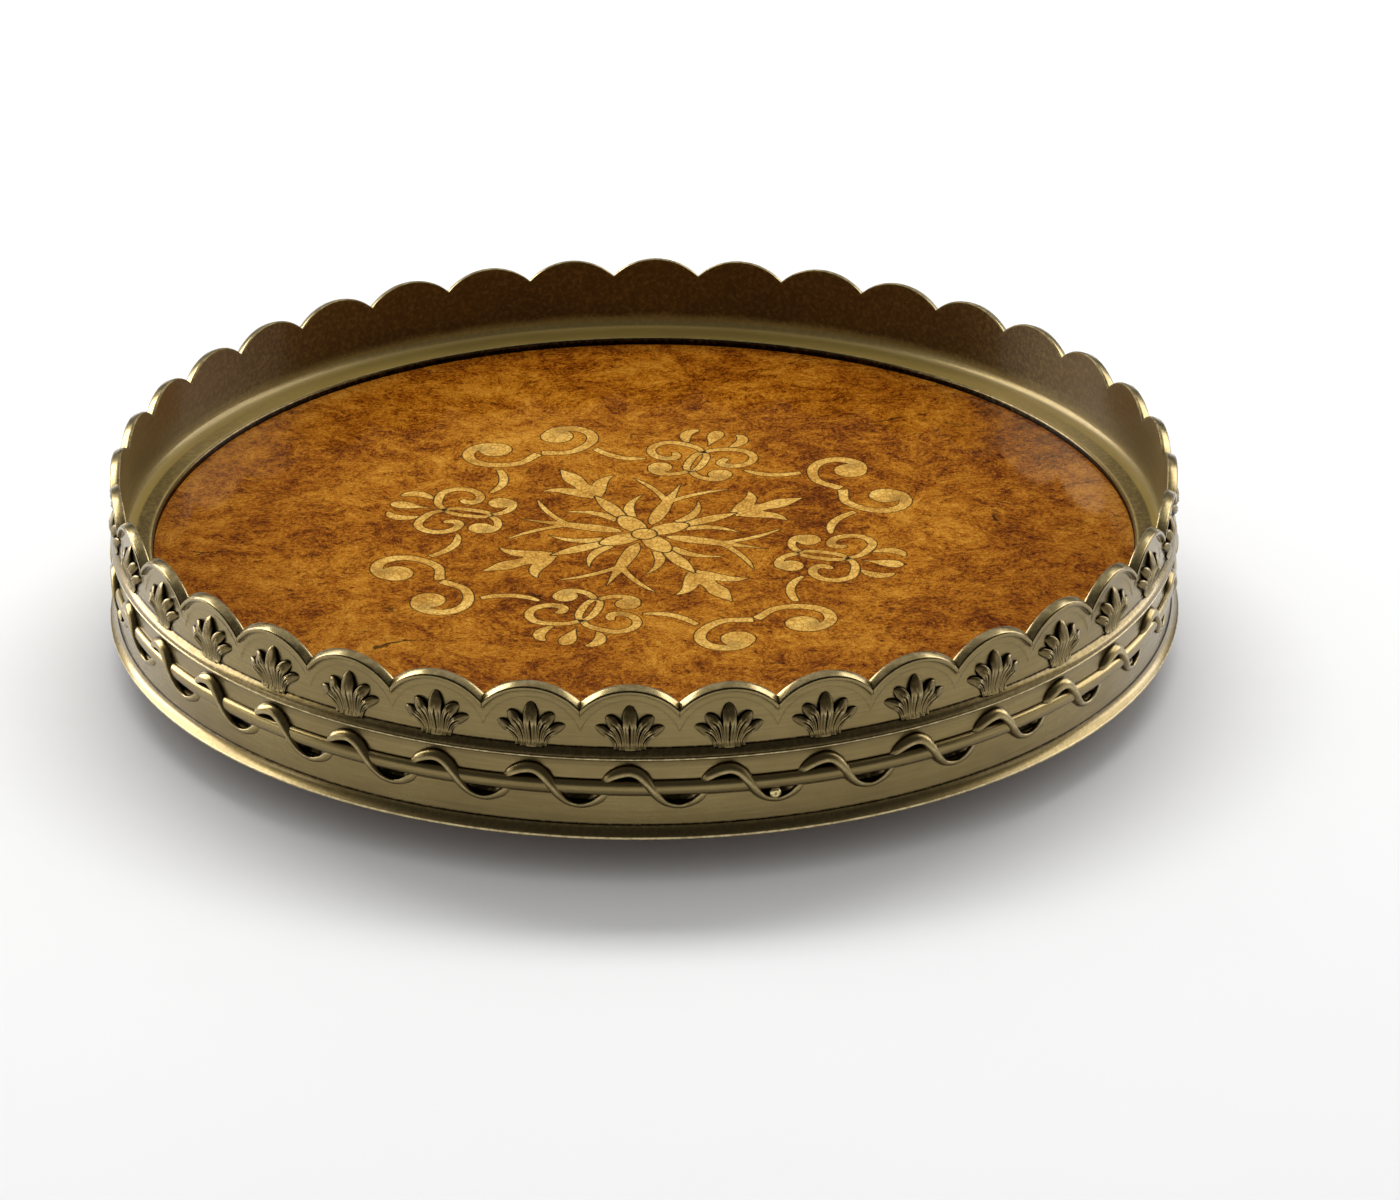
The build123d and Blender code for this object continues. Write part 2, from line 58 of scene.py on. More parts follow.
# ------------------------------------------------------------ sizes from the frame
band_low, band_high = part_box("gallery_band")
pin_low, pin_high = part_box("gallery_pins")
lip_radius = band_high.x / MM
skirt_z = band_low.z / MM
crown_z = band_high.z / MM
core_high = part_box("core_board")[1]
core_z = core_high.z / MM
core_radius = core_high.x / MM
panel_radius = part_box("burl_veneer")[1].x / MM
pin_z = (pin_low.z + pin_high.z) / 2 / MM

band_radius = lip_radius - 3.5
field_radius = lip_radius - 4.3
rim_radius = lip_radius - 2.2
shoulder_radius = lip_radius - 1.7
wall_radius = lip_radius - 6.6          # inner face of the wall
skirt_radius = core_radius + 0.3
ledge_radius = panel_radius + 0.3       # inner edge of the ledge

notch_z = crown_z - 10.5
shoulder_top = notch_z - 16.4
shoulder_bottom = notch_z - 21.6
staff_z = notch_z - 33.6
staff_half = 3.2                        # half the height of the half-round staff
staff_depth = 2.1                       # how far the staff stands out from the band
flare_top = skirt_z + 5.2
ledge_z = core_z + 3.9                  # where the ledge meets the cove
ledge_fall = 0.4                        # how far the ledge slopes down to its inner edge
nosing = 0.9                            # radius of the ledge's rounded inner edge
cove = 4.4                              # radius of the hollow between ledge and wall

scallops = 36
pitch = 360 / scallops
first_crown = 8.417                     # degrees from +X to the first crown
crossing_lead = 2.77                    # degrees from a crown to the next ribbon crossing
crowns = first_crown + pitch * np.arange(scallops)
crossings = crowns + crossing_lead
pin_count = 4
pin_lead = 7.4                          # along the band from a crossing to the middle of its loop
pin_angles = crossings[:: scallops // pin_count] + math.degrees(pin_lead / band_radius)
crown_arc_inner = 27.2                  # radius of a scallop's top edge on the inner face of the wall
crown_arc_outer = 26.1                  # and on the outer face
border = 1.7                            # width of the raised border under the scallops
pattern_turn = math.radians(-17.0)      # how far the inlay pattern is turned from the axes


# ------------------------------------------------------------------- mesh helpers
def smooth(low, high, value):
    """0 below low, 1 above high, and an easy curve between them."""
    t = np.clip((value - low) / (high - low), 0, 1)
    return t * t * (3 - 2 * t)


def on_wall(radius, angle, x, z, h):
    """Points in millimetres from places on the curved wall; angle is in degrees."""
    turn = np.radians(angle) + x / radius
    r = radius + h
    return np.stack(np.broadcast_arrays(r * np.cos(turn), r * np.sin(turn), z), axis=-1)


def grid_faces(rows, columns, wrap_rows=False, wrap_columns=False, first=0):
    """Quads of a grid of points stored row by row."""
    i = np.arange(rows if wrap_rows else rows - 1)
    j = np.arange(columns if wrap_columns else columns - 1)
    i, j = [a.ravel() for a in np.meshgrid(i, j, indexing="ij")]
    up, right = (i + 1) % rows, (j + 1) % columns
    corners = [i * columns + j, i * columns + right, up * columns + right, up * columns + j]
    return np.stack(corners, axis=-1) + first


def make_piece(name, points, faces, values, sharp=35.0):
    """Mesh object from points in millimetres; values are named numbers, one for each point."""
    mesh = bpy.data.meshes.new(name)
    mesh.from_pydata((points * MM).tolist(), [], faces.tolist())
    for key, numbers in values.items():
        layer = mesh.attributes.new(key, "FLOAT", "POINT")
        layer.data.foreach_set("value", np.asarray(numbers, np.float32))
    mesh.polygons.foreach_set("use_smooth", np.ones(len(mesh.polygons), bool))
    mesh.set_sharp_from_angle(angle=math.radians(sharp))
    mesh.update()
    piece = bpy.data.objects.new(name, mesh)
    bpy.context.scene.collection.objects.link(piece)
    return piece


def join_grids(grids):
    """One set of points, faces and values from several separate grids."""
    points, faces, values, first = [], [], {}, 0
    for grid_points, grid_values in grids:
        rows, columns = grid_points.shape[:2]
        points.append(grid_points.reshape(-1, 3))
        faces.append(grid_faces(rows, columns, first=first))
        for key, numbers in grid_values.items():
            values.setdefault(key, []).append(np.broadcast_to(numbers, (rows, columns)).ravel())
        first += rows * columns
    joined = {key: np.concatenate(numbers) for key, numbers in values.items()}
    return np.concatenate(points), np.concatenate(faces), joined


# ------------------------------------------------------------------------ gallery
columns_per_scallop = 24                # keeps the casting under 200,000 triangles
crease_edge = pitch / 2 - 0.04          # degrees from a crown to the dark line in each notch
pocket_depth = 2.0                      # how deep the casting is cut away inside a ribbon loop
lip_height = 1.0                        # height of the thin lip round the foot


def column_angles():
    """Angle of each mesh column, and its offset from the nearest crown; columns crowd at the notches."""
    u = np.linspace(-1, 1, columns_per_scallop - 1)[1:-1]
    offset = crease_edge * np.sign(u) * (1 - (1 - np.abs(u)) ** 1.3)
    offset = np.concatenate([[-pitch / 2, -crease_edge], offset, [crease_edge]])
    return (crowns[:, None] + offset).ravel(), np.tile(offset, scallops)


def arc_height(radius, arc, offset):
    """Height of a scallop arc of that radius, where it passes over a column."""
    x = radius * np.sin(np.radians(offset))
    return crown_z - crown_arc_inner + np.sqrt(arc**2 - x**2)


def ribbon_pocket(angle, z):
    """Share of the full pocket depth at a place beside the staff: 1 well inside a ribbon loop."""
    nearest = np.round((angle - crossings[0]) / pitch) * pitch + crossings[0]
    x = np.radians(angle - nearest) * band_radius
    x_before = x - math.radians(pitch) * band_radius * np.sign(x)
    rise = z - staff_z
    share = 0
    for along in (x, x_before):
        low = smooth(1.5, 4.0, along) * smooth(15.0, 11.5, along) * smooth(-6.9, -6.0, rise)
        high = smooth(-4.0, -6.5, along) * smooth(-17.5, -15.0, along) * smooth(6.6, 5.8, rise)
        share = np.maximum(share, low if rise < 0 else high)
    return share


class Profile:
    """The casting's closed profile: rows of points, each row with one point in every mesh column.

    Each point has a patina (1 is brown, 2 is black: patina, and in places painted shade),
    a wear (1 is rubbed bright) and a varnish (1 is matt gold). In the draw functions, a number added
    to a named radius or height is a small step of the moulding in millimetres, and a share runs from 0 to 1
    along one part of it.
    """

    def __init__(self):
        self.angle, offset = column_angles()
        self.rows = []
        self.crease = smooth(crease_edge, pitch / 2, np.abs(offset))
        self.top_in = arc_height(wall_radius, crown_arc_inner, offset)
        self.top_out = arc_height(rim_radius, crown_arc_outer, offset)
        self.border_low = arc_height(rim_radius, crown_arc_outer - border, offset)
        self.groove_low = arc_height(rim_radius, crown_arc_outer - border - 1.3, offset)
        self.dish_low = arc_height(rim_radius, crown_arc_outer - border - 3.4, offset)

    def add(self, r, z, patina=0.0, wear=0.0, varnish=0.0):
        values = (r, z, patina, wear, varnish)
        self.rows.append([np.broadcast_to(np.asarray(v, float), self.angle.shape) for v in values])

    def add_arc(self, centre, radius_r, radius_z, start, stop, count, **values):
        for turn in np.radians(np.linspace(start, stop, count)):
            r = centre[0] + radius_r * math.cos(turn)
            z = centre[1] + radius_z * math.sin(turn)
            self.add(r, z, **values)

    def add_pocketed(self, rises):
        """Plain band beside the staff, at those heights above it, cut away inside the ribbon loops."""
        for rise in rises:
            share = ribbon_pocket(self.angle, staff_z + rise)
            # inside the loops the band is painted black: patina and painted shade in the pocket
            self.add(band_radius - pocket_depth * share, staff_z + rise, patina=2.0 * share)


def draw_inside(profile):
    """Nosing, ledge, cove and wall. Toward +Y, painted shade darkens the wall and the nosing, and painted
    light brightens the ledge.
    """
    # painted shade and painted light that follow the angle round the tray: darker wall and nosing, brighter
    # ledge toward +Y
    toward_back = smooth(0.1, 0.95, np.sin(np.radians(profile.angle)))
    wall_patina_and_shade = 0.45 + 0.5 * toward_back
    wall_varnish = 0.3
    ledge_patina_and_painted_light = 0.85 - 0.80 * toward_back
    nosing_patina_and_shade = 0.4 + 0.9 * toward_back

    nosing_r, nosing_z = ledge_radius + nosing, ledge_z - ledge_fall - nosing
    profile.add(ledge_radius, core_z, patina=2.0)
    profile.add(ledge_radius, nosing_z - 0.3, patina=1.6)
    profile.add_arc((nosing_r, nosing_z), nosing, nosing, 180, 112, 5, patina=nosing_patina_and_shade)
    profile.add_arc((nosing_r, nosing_z), nosing, nosing, 98, 90, 2, wear=0.6, varnish=0.6)

    cove_r, cove_z = wall_radius - cove, ledge_z + cove
    for share in (0.15, 0.5, 0.85):
        r = nosing_r + (cove_r - nosing_r) * share
        profile.add(r, ledge_z - ledge_fall * (1 - share), patina=ledge_patina_and_painted_light, varnish=0.9)
    profile.add_arc((cove_r, cove_z), cove, cove, -90, -50, 6, varnish=0.9)
    profile.add_arc((cove_r, cove_z), cove, cove, -42, 0, 6, patina=0.4, varnish=0.6)

    wall_rise = profile.top_in - 0.8 - cove_z
    for share in (0.12, 0.3, 0.5, 0.7, 0.9, 0.97):
        profile.add(wall_radius, cove_z + share * wall_rise, wall_patina_and_shade, varnish=wall_varnish)
    profile.add(wall_radius, profile.top_in - 0.55, wall_patina_and_shade, varnish=wall_varnish)


def draw_rim(profile):
    """Rounded inner edge, a top face that falls away outwards, and its dark outer line."""
    top_in, top_out, crease = profile.top_in, profile.top_out, profile.crease
    profile.add(wall_radius + 0.1, top_in - 0.18, wear=0.6)
    profile.add(wall_radius + 0.4, top_in, wear=0.6)
    face_start = wall_radius + 0.8
    face_width = rim_radius - 0.45 - face_start
    for share in (0.0, 0.25, 0.5, 0.7, 0.87, 1.0):
        z = top_in + 0.08 + (top_out - 0.1 - top_in) * share**1.3 - 0.2 * crease * (0.3 + share)
        profile.add(face_start + share * face_width, z, patina=0.8 * crease, wear=0.3)
    profile.add(rim_radius - 0.32, top_out - 0.22 - 0.25 * crease, patina=1.6)
    profile.add(rim_radius - 0.1 - 0.25 * crease, top_out - 0.42, patina=1.0)


def draw_field(profile):
    """Raised border, its groove, and the shallow dish under each scallop."""
    border_low, groove_low, dish_low = profile.border_low, profile.groove_low, profile.dish_low
    crease = profile.crease
    profile.add(rim_radius - 0.25 * crease, profile.top_out - 0.75, wear=0.2)
    profile.add(rim_radius - 0.25 * crease, border_low + 0.5)
    profile.add(rim_radius - 0.15 - 0.2 * crease, border_low + 0.1, wear=0.15)
    profile.add(rim_radius - 0.6 - 0.2 * crease, border_low - 0.05, patina=0.2)
    profile.add(field_radius + 0.35, border_low - 0.3, patina=0.35)
    profile.add(field_radius + 0.1, border_low - 0.75, patina=0.5)
    profile.add(field_radius + 0.2, groove_low, patina=0.1)
    profile.add(field_radius + 0.22, groove_low - 0.5)
    profile.add(field_radius + 0.2, dish_low + 0.3)
    profile.add(field_radius + 0.05, dish_low - 0.1, patina=0.12)
    profile.add(field_radius - 0.05, dish_low - 0.6, patina=0.1)
    field_bottom = shoulder_top + 1.0
    for share in (0.75, 0.5, 0.25):
        profile.add(field_radius, field_bottom + share * (dish_low - 0.9 - field_bottom))
    profile.add(field_radius, shoulder_top + 0.7, patina=0.3)
    profile.add(field_radius + 0.05, shoulder_top + 0.1, patina=2.0)


def draw_shoulder(profile):
    """Bulging shoulder moulding with a thin, bright fillet under it."""
    reach = shoulder_radius - field_radius - 0.25
    drop = shoulder_top - shoulder_bottom - 1.6
    for share in (0.1, 0.3, 0.5, 0.7, 0.9, 1.0):
        bulge = 0.55 * math.sin(math.pi * share)
        profile.add(field_radius + 0.1 + reach * share + bulge, shoulder_top - drop * share, patina=0.65)
    profile.add(shoulder_radius - 0.05, shoulder_bottom + 1.5, patina=1.2)
    profile.add(shoulder_radius + 0.1, shoulder_bottom + 1.35, wear=1.0)
    profile.add(shoulder_radius + 0.15, shoulder_bottom + 1.1, wear=1.0)
    profile.add(shoulder_radius + 0.1, shoulder_bottom + 0.85, wear=1.0)
    profile.add(shoulder_radius - 0.1, shoulder_bottom + 0.7, patina=0.2)
    profile.add(shoulder_radius - 0.3, shoulder_bottom + 0.3)
    profile.add(band_radius + 0.3, shoulder_bottom - 0.05, patina=0.3)


def draw_band(profile):
    """Plain band with the half-round staff along its middle, dark along both edges of the staff."""
    beside_staff = (3.7, 4.3, 5.2, 6.2, 7.2, 8.2)
    profile.add(band_radius, shoulder_bottom - 0.7, patina=0.1)
    profile.add_pocketed(reversed(beside_staff))
    profile.add(band_radius - 0.2, staff_z + staff_half + 0.1, patina=1.8)
    profile.add_arc((band_radius, staff_z), staff_depth, staff_half, 80, -80, 13, patina=0.05)
    profile.add(band_radius - 0.2, staff_z - staff_half - 0.1, patina=1.5)
    profile.add_pocketed([-rise for rise in beside_staff])
    profile.add(band_radius, flare_top + 0.8)
    profile.add(band_radius - 0.05, flare_top + 0.3, patina=0.9)


def draw_foot(profile):
    """Hollow flare, thin bright lip, underside and the inside of the skirt."""
    flare_radius, flare_z = band_radius + 0.5, flare_top - 0.4
    lip_top = skirt_z + lip_height
    profile.add(band_radius + 0.1, flare_top - 0.2, patina=2.0)
    profile.add(flare_radius, flare_z, patina=0.9)
    for share in (0.15, 0.35, 0.55, 0.75, 0.9):
        hollow = 0.5 * math.sin(math.pi * share)
        r = flare_radius + (lip_radius - 0.35 - flare_radius) * share - hollow
        profile.add(r, flare_z + (lip_top - flare_z) * share, patina=0.5)
    profile.add(lip_radius - 0.35, lip_top + 0.05, patina=0.6)
    profile.add(lip_radius - 0.08, lip_top - 0.12, wear=1.5)
    profile.add(lip_radius, lip_top - 0.4, wear=1.5)
    profile.add(lip_radius - 0.05, skirt_z + 0.2, wear=1.5)
    profile.add(lip_radius - 0.25, skirt_z, wear=0.5)
    profile.add(skirt_radius + 0.4, skirt_z, patina=0.3)
    profile.add(skirt_radius, skirt_z + 0.3, patina=0.3)
    profile.add(skirt_radius, core_z, patina=0.5)


def gallery_casting():
    """The casting: one closed profile carried round the tray under the scallops."""
    profile = Profile()
    for draw in (draw_inside, draw_rim, draw_field, draw_shoulder, draw_band, draw_foot):
        draw(profile)
    radius, height, patina, wear, varnish = [np.stack(part) for part in zip(*profile.rows)]
    points = on_wall(radius, profile.angle[None, :], 0.0, height, 0.0)
    faces = grid_faces(*radius.shape, wrap_rows=True, wrap_columns=True)
    values = {"patina": patina.ravel(), "wear": wear.ravel(), "varnish": varnish.ravel()}
    return make_piece("gallery_casting", points.reshape(-1, 3), faces, values)


def bezier(points, count):
    """Points and directions along a quadratic curve, and how far along each one is."""
    s = np.linspace(0, 1, count)[:, None]
    a, b, c = np.asarray(points, float)
    place = (1 - s) ** 2 * a + 2 * s * (1 - s) * b + s**2 * c
    along = 2 * (1 - s) * (b - a) + 2 * s * (c - b)
    along /= np.linalg.norm(along, axis=1, keepdims=True)
    return place, along, s[:, 0]


lobe_rows = 22
lobe_columns = 21                       # across the lobe, without the two that turn into the wall
lobe_swell = 0.56                       # share of the length at which a lobe is highest
lobe_sink = 0.15                        # how far a lobe's edge is sunk into the wall


def palmette_lobe(curve, base_width, full_width, peak):
    """One lobe: a ribbed leaf that swells outwards and curls over into a hood, as a grid of (x, z, h)."""
    place, along, s = bezier(curve, lobe_rows)
    across = np.concatenate([[-1.03], np.linspace(-1, 1, lobe_columns), [1.03]])
    hood = np.clip((s - lobe_swell) / (1 - lobe_swell), 0, 1)

    width = base_width + (full_width - base_width) * smooth(0.0, 0.72, s)
    width = width * np.clip(1 - np.clip((s - 0.7) / 0.3, 0, 1) ** 2, 0, 1) ** 0.65
    height = 0.8 + (peak - 0.8) * np.clip(s / lobe_swell, 0, 1) ** 1.3
    height = height * (1 - 0.8 * hood**1.25)
    height = height * np.sqrt(np.clip(1 - np.clip((s - 0.9) / 0.1, 0, 1) ** 2, 0, 1))
    dome = 0.45 + 0.55 * (1 - np.clip(np.abs(across), 0, 1) ** 3) ** 0.5
    dome[[0, -1]] = 0

    middle_groove = np.exp(-((across / 0.11) ** 2))
    side_grooves = np.exp(-(((np.abs(across) - 0.6) / 0.11) ** 2))
    ribbed = smooth(0.03, 0.12, s) * smooth(0.72, 0.5, s)
    groove = ribbed[:, None] * (middle_groove + 0.5 * side_grooves)[None, :]
    h = height[:, None] * dome * (1 - 0.4 * groove) - lobe_sink

    side = np.stack([-along[:, 1], along[:, 0]], axis=-1)
    flat = place[:, None, :] + across[None, :, None] * (width / 2)[:, None, None] * side[:, None, :]
    edge = smooth(0.85, 1.0, np.abs(across))[None, :] * np.ones_like(h)
    # dark edges and grooves are patina; the darker hood tops are painted shade
    patina = np.clip(1.8 * edge + 1.3 * groove + 0.6 * smooth(0, 0.3, hood)[:, None], 0, 2)
    wear = 0.5 * smooth(0.35, 0.5, s)[:, None] * smooth(0.66, 0.56, s)[:, None] * (1 - edge)
    return flat[..., 0], flat[..., 1], h, patina, wear


def palmettes():
    """A fan of five lobes under every scallop: a tall middle one and two on each side.

    Each lobe has its curve, as (x, height) from the middle of the fan's foot, its width at the
    foot, its full width and how far it stands out.
    """
    base = shoulder_top - 0.5
    lobes = [([(0, -0.1), (0, 9), (0, 19.4)], 4.2, 6.2, 3.6)]
    for side in (-1, 1):
        lobes.append(([(side * 3.1, 0.1), (side * 3.5, 12.4), (side * 9.9, 13.8)], 2.6, 5.2, 3.4))
        lobes.append(([(side * 4.9, 0.6), (side * 6.2, 8.2), (side * 14.0, 9.6)], 2.8, 4.2, 3.0))
    grids = []
    for curve, base_width, full_width, peak in lobes:
        x, z, h, patina, wear = palmette_lobe(curve, base_width, full_width, peak)
        over_shoulder = 0.9 * smooth(2.4, 0.0, z)
        for crown in crowns:
            points = on_wall(field_radius, crown, x, base + z, h + over_shoulder)
            grids.append((points, {"patina": patina, "wear": wear}))
    return make_piece("palmettes", *join_grids(grids), sharp=50.0)


def ribbon():
    """A strap that winds round the staff once for every scallop and twists as it goes.

    The path is (x, rise) from one crossing of the staff, first over the hump above it and then
    round the loop below. The strap is highest along its ridge, which lies toward the lower edge
    (-1) over the hump and toward the upper edge (1) round the loop.
    """
    path = np.array([
        (-22.0, 2.6), (-20.2, 4.0), (-17.6, 6.0), (-14.4, 7.4), (-10.6, 7.9), (-7.4, 6.6), (-4.9, 3.9),
        (-2.6, 0.4), (-0.2, -3.4), (3.4, -6.8), (8.6, -8.2), (13.4, -7.0), (16.6, -4.9), (18.8, -2.6),
    ])
    widths = [1.4, 3.3, 4.2, 4.6, 4.7, 4.8, 4.9, 4.8, 4.2, 3.0, 2.5, 3.0, 3.6, 2.6]
    heights = [0.4, 2.1, 2.8, 3.0, 3.1, 3.2, 3.3, 3.3, 2.8, 1.9, 1.5, 1.3, 1.0, 0.5]
    ridges = [-0.4, -0.5, -0.6, -0.6, -0.6, -0.5, -0.3, 0.0, 0.3, 0.55, 0.65, 0.65, 0.6, 0.5]
    rows, columns = 61, 19
    s = np.linspace(0, 1, rows)
    centre = np.stack([smooth_curve(path[:, k], s) for k in (0, 1)], axis=-1)
    width, height, ridge = [smooth_curve(v, s)[:, None] for v in (widths, heights, ridges)]
    along = np.gradient(centre, axis=0)
    along /= np.linalg.norm(along, axis=1, keepdims=True)
    side = np.stack([-along[:, 1], along[:, 0]], axis=-1)
    across = np.linspace(-1, 1, columns)[None, :]
    flat = centre[:, None, :] + (across * width / 2)[..., None] * side[:, None, :]
    x, z = flat[..., 0], flat[..., 1]
    from_ridge = np.where(across < ridge, (ridge - across) / (ridge + 1), (across - ridge) / (1 - ridge))
    h = height * (1 - np.clip(from_ridge, 0, 1) ** 2.3) ** 0.6 - 0.1
    edge = smooth(0.85, 1.0, np.abs(across)) * np.ones_like(h)
    on_ridge = smooth(0.45, 0.1, from_ridge)
    # dark strap edges are patina; the side above the ridge is painted shade
    values = {"patina": 1.5 * edge + 0.3 * (1 - on_ridge) * (across > ridge), "wear": 0.35 * on_ridge}
    grids = [(on_wall(band_radius, crossing, x, staff_z + z, h), values) for crossing in crossings]
    return make_piece("ribbon", *join_grids(grids), sharp=60.0)


def smooth_curve(values, at):
    """Smooth curve through evenly spaced values: cubic pieces with slopes taken from their neighbours."""
    values = np.asarray(values, float)
    slopes = np.gradient(values)
    place = at * (len(values) - 1)
    i = np.clip(place.astype(int), 0, len(values) - 2)
    t = place - i
    start = (2 * t**3 - 3 * t**2 + 1) * values[i] + (t**3 - 2 * t**2 + t) * slopes[i]
    end = (3 * t**2 - 2 * t**3) * values[i + 1] + (t**3 - t**2) * slopes[i + 1]
    return start + end


def pin_heads():
    """Round pin heads with a small dimple, dark round the rim; their profile is (radius, height)."""
    profile = np.array([(2.5, -0.6), (2.5, 0.35), (2.3, 0.8), (1.85, 1.15), (1.3, 1.4),
                        (0.75, 1.48), (0.5, 1.38), (0.25, 1.22), (0.02, 1.18)])
    radius, height = profile[:, :1], profile[:, 1:]
    turns = np.radians(np.arange(0, 361, 15))
    dimple = smooth(0.8, 0.2, radius) + 0 * turns
    rim = smooth(2.3, 2.5, radius) + 0 * turns
    values = {"patina": np.maximum(0.5 * dimple, rim), "wear": 1 - dimple}
    x = radius * np.cos(turns)
    z = pin_z + 0.5 + radius * np.sin(turns)
    h = height + 0.6 + 0 * turns
    grids = [(on_wall(band_radius, angle, x, z, h), values) for angle in pin_angles]
    return make_piece("pin_heads", *join_grids(grids), sharp=50.0)


# ------------------------------------------------------------------ node helpers
class Shader:
    """One material's node tree, with a short call for each kind of node it uses."""

    def __init__(self, name):
        self.material = bpy.data.materials.new(name)
        self.material.use_nodes = True
        self.tree = self.material.node_tree
        self.tree.nodes.clear()
        self.output = self.tree.nodes.new("ShaderNodeOutputMaterial")
        self.place = self.node("ShaderNodeTexCoord").outputs["Object"]

    def node(self, kind, inputs=None, **settings):
        made = self.tree.nodes.new(kind)
        for key, value in settings.items():
            setattr(made, key, value)
        for key, value in (inputs or {}).items():
            if isinstance(value, bpy.types.NodeSocket):
                self.tree.links.new(value, made.inputs[key])
            else:
                made.inputs[key].default_value = value
        return made

    def math(self, operation, a, b=0.0, clamp=False):
        return self.node("ShaderNodeMath", {0: a, 1: b}, operation=operation, use_clamp=clamp).outputs[0]

    def add(self, a, b, **settings):
        return self.math("ADD", a, b, **settings)

    def times(self, a, b):
        return self.math("MULTIPLY", a, b)

    def vector_math(self, operation, a, b=(0, 0, 0)):
        return self.node("ShaderNodeVectorMath", {0: a, 1: b}, operation=operation).outputs[0]

    def length(self, vector):
        return self.node("ShaderNodeVectorMath", {0: vector}, operation="LENGTH").outputs["Value"]

    def distance(self, a, b):
        return self.node("ShaderNodeVectorMath", {0: a, 1: b}, operation="DISTANCE").outputs["Value"]

    def wander(self, scale, detail, roughness, amount):
        """Object coordinates pushed about by noise of that scale, by up to about that amount."""
        noise = self.node("ShaderNodeTexNoise", {"Vector": self.place, "Scale": scale, "Detail": detail,
                                                 "Roughness": roughness}).outputs["Color"]
        push = self.node("ShaderNodeVectorMath", {0: noise, "Scale": amount}, operation="SCALE")
        return self.vector_math("ADD", self.place, push.outputs[0])

    def stretch(self, vector, scale):
        return self.node("ShaderNodeMapping", {"Vector": vector, "Scale": scale}).outputs[0]

    def noise(self, scale, detail=4.0, roughness=0.55, distortion=0.0, vector=None):
        inputs = {"Vector": vector or self.place, "Scale": scale, "Detail": detail,
                  "Roughness": roughness, "Distortion": distortion}
        return self.node("ShaderNodeTexNoise", inputs).outputs["Fac"]

    def cell_edges(self, scale, vector):
        """Distance to the nearest edge between random cells."""
        inputs = {"Vector": vector, "Scale": scale}
        return self.node("ShaderNodeTexVoronoi", inputs, feature="DISTANCE_TO_EDGE").outputs["Distance"]

    def span(self, value, low, high, to_low=0.0, to_high=1.0):
        inputs = {"Value": value, "From Min": low, "From Max": high, "To Min": to_low, "To Max": to_high}
        return self.node("ShaderNodeMapRange", inputs, interpolation_type="SMOOTHSTEP").outputs[0]

    def ramp(self, value, stops):
        made = self.node("ShaderNodeValToRGB", {0: value})
        elements = made.color_ramp.elements
        while len(elements) < len(stops):
            elements.new(0.5)
        for element, (place, colour) in zip(elements, stops):
            element.position = place
            element.color = (*colour, 1)
        return made.outputs[0]

    def mix(self, share, a, b, blend="MIX"):
        a, b = [(*c, 1) if isinstance(c, tuple) else c for c in (a, b)]
        inputs = {0: share, 6: a, 7: b}
        return self.node("ShaderNodeMix", inputs, data_type="RGBA", blend_type=blend).outputs[2]

    def value(self, name):
        return self.node("ShaderNodeAttribute", attribute_name=name).outputs["Fac"]

    def openness(self, distance, samples, inside=False):
        """How open the surface is within that distance: 1 in the open, near 0 deep in a recess."""
        inputs = {"Distance": distance}
        settings = {"samples": samples, "inside": inside}
        return self.node("ShaderNodeAmbientOcclusion", inputs, **settings).outputs["AO"]

    def bump(self, height, distance, strength):
        inputs = {"Height": height, "Distance": distance, "Strength": strength}
        return self.node("ShaderNodeBump", inputs).outputs[0]

    def surface(self, **inputs):
        named = {key.replace("_", " "): value for key, value in inputs.items()}
        for key, value in named.items():
            if isinstance(value, tuple):
                named[key] = (*value, 1)
        shader = self.node("ShaderNodeBsdfPrincipled", named)
        self.tree.links.new(shader.outputs[0], self.output.inputs[0])
        return self.material


# ---------------------------------------------------------------------- materials
white = (1, 1, 1)


